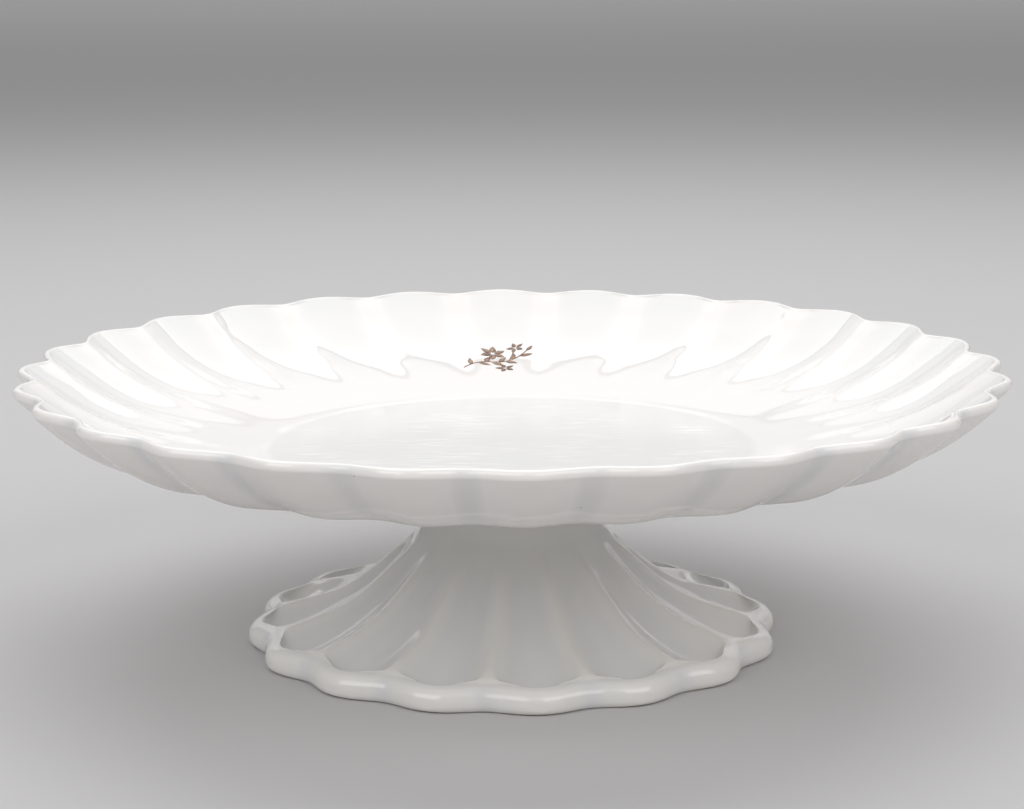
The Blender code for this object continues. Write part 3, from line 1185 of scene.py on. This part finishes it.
    def let_down(self, motif: bpy.types.Object) -> None:
        """Lay the flat motif on the dish's wall, give it the thickness of printed colour and dress it.

        Args:
            motif: the motif drawn flat over its place.
        """
        wall = BVHTree.FromObject(self.dish, bpy.context.evaluated_depsgraph_get())
        for vertex in motif.data.vertices:
            start = Vector((vertex.co.x, vertex.co.y, self.drop_from * MM))
            place, normal, _, _ = wall.ray_cast(start, Vector((0.0, 0.0, -1.0)))
            vertex.co = place + normal * self.lift * MM
        take(motif)
        bpy.ops.object.mode_set(mode="EDIT")
        bpy.ops.mesh.select_all(action="SELECT")
        bpy.ops.mesh.remove_doubles(threshold=self.weld * MM)
        bpy.ops.mesh.normals_make_consistent(inside=False)
        bpy.ops.object.mode_set(mode="OBJECT")
        ups = sum(face.normal.z * face.area for face in motif.data.polygons)
        if ups < 0.0:
            motif.data.flip_normals()
        solid = motif.modifiers.new("thickness", "SOLIDIFY")
        solid.thickness = self.thickness * MM
        solid.offset = 1.0
        bpy.ops.object.modifier_apply(modifier=solid.name)
        dress(motif, "print_spray", Slot.PRINT, UnderglazePrint().material())
        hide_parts("transfer_print")

    def build(self) -> None:
        """Print the spray: its stem, leaves and bud, a large open flower and two small ones."""
        path = self.main_stem()
        parts = [self.flat_ribbon(path, self.stem_width)]
        parts += self.leaves(path)
        for flower in self.flowers:
            parts += self.open_flower(path, flower)
        clear_selection()
        for part in parts:
            part.select_set(True)
        bpy.context.view_layer.objects.active = parts[0]
        bpy.ops.object.join()
        self.let_down(bpy.context.object)


# ---------------------------------------------------------------- the studio


@dataclass(frozen=True)
class Softbox:
    """One rectangular softbox that faces the stand. Metres and watts.

    Args:
        name: the lamp's name.
        at: where it hangs.
        size: its width and height.
        watts: its power.
        aim: the point it faces.
    """

    name: str
    at: tuple[float, float, float]
    size: tuple[float, float]
    watts: float
    aim: tuple[float, float, float] = (0.0, 0.0, 0.05)

    def hang(self) -> None:
        """Add the lamp and turn it to the stand."""
        clear_selection()
        bpy.ops.object.light_add(type="AREA", location=self.at)
        lamp = bpy.context.object
        lamp.name = self.name
        lamp.data.shape = "RECTANGLE"
        lamp.data.size, lamp.data.size_y = self.size
        lamp.data.energy = self.watts
        facing = Vector(self.aim) - Vector(self.at)
        lamp.rotation_euler = facing.to_track_quat("-Z", "Y").to_euler()


@dataclass
class Studio:
    """A pale floor, soft lights and the camera. Lengths in metres."""

    lens: float = 90.6
    camera_at: tuple[float, float, float] = (0.0, -0.7465, 0.2194)
    pitch: float = math.radians(78.74)
    roll: float = math.radians(-0.27)
    floor_size: float = 24.0
    floor_drop: float = 0.05 * MM
    room_colour: str = "#ebeaed"
    room_strength: float = 0.36
    hung: tuple[Softbox, ...] = (
        Softbox("overhead_softbox", (0.0, 0.55, 1.2), (1.5, 1.4), 11.0),
        Softbox("back_strip", (0.0, 5.0, 2.6), (6.5, 1.45), 21.0),
        Softbox("back_panel", (0.0, 5.2, 1.15), (7.5, 1.3), 14.0),
    )

    def camera(self) -> None:
        """Set the camera at the viewing angle."""
        clear_selection()
        bpy.ops.object.camera_add()
        camera = bpy.context.object
        turned = Matrix.Rotation(self.pitch, 4, "X") @ Matrix.Rotation(self.roll, 4, "Z")
        camera.matrix_world = Matrix.Translation(Vector(self.camera_at)) @ turned
        camera.data.lens = self.lens
        camera.data.clip_start = 0.01
        bpy.context.scene.camera = camera

    def floor(self) -> None:
        """Lay the pale floor just under the foot."""
        clear_selection()
        bpy.ops.mesh.primitive_plane_add(size=self.floor_size, location=(0.0, 0.0, -self.floor_drop))
        floor = bpy.context.object
        floor.name = "studio_floor"
        floor.data.materials.append(StudioPaper().material())

    def lights(self) -> None:
        """A broad softbox overhead, a strip low behind, two softboxes at the front, and a soft room."""
        for box in self.hung:
            box.hang()
        for side in Side:
            name = f"front_softbox_{side.name.lower()}"
            Softbox(name, (side.value * 0.9, -1.0, 1.0), (1.4, 1.05), 8.9).hang()
        world = bpy.data.worlds.new("soft_room")
        bpy.context.scene.world = world
        world.use_nodes = True
        room = world.node_tree.nodes["Background"]
        room.inputs["Color"].default_value = linear(self.room_colour)
        room.inputs["Strength"].default_value = self.room_strength
        bpy.context.scene.view_settings.view_transform = "Standard"

    def build(self) -> None:
        """Set up the whole studio."""
        self.camera()
        self.floor()
        self.lights()


def main() -> None:
    """Build the stand piece by piece, then the studio round it."""
    logging.basicConfig(level=logging.INFO, format="%(name)s: %(message)s")
    Studio().build()
    dish = Dish().build()
    Pedestal().build()
    Joint().build()
    TransferPrint(dish).build()


if __name__ == "__main__":
    main()
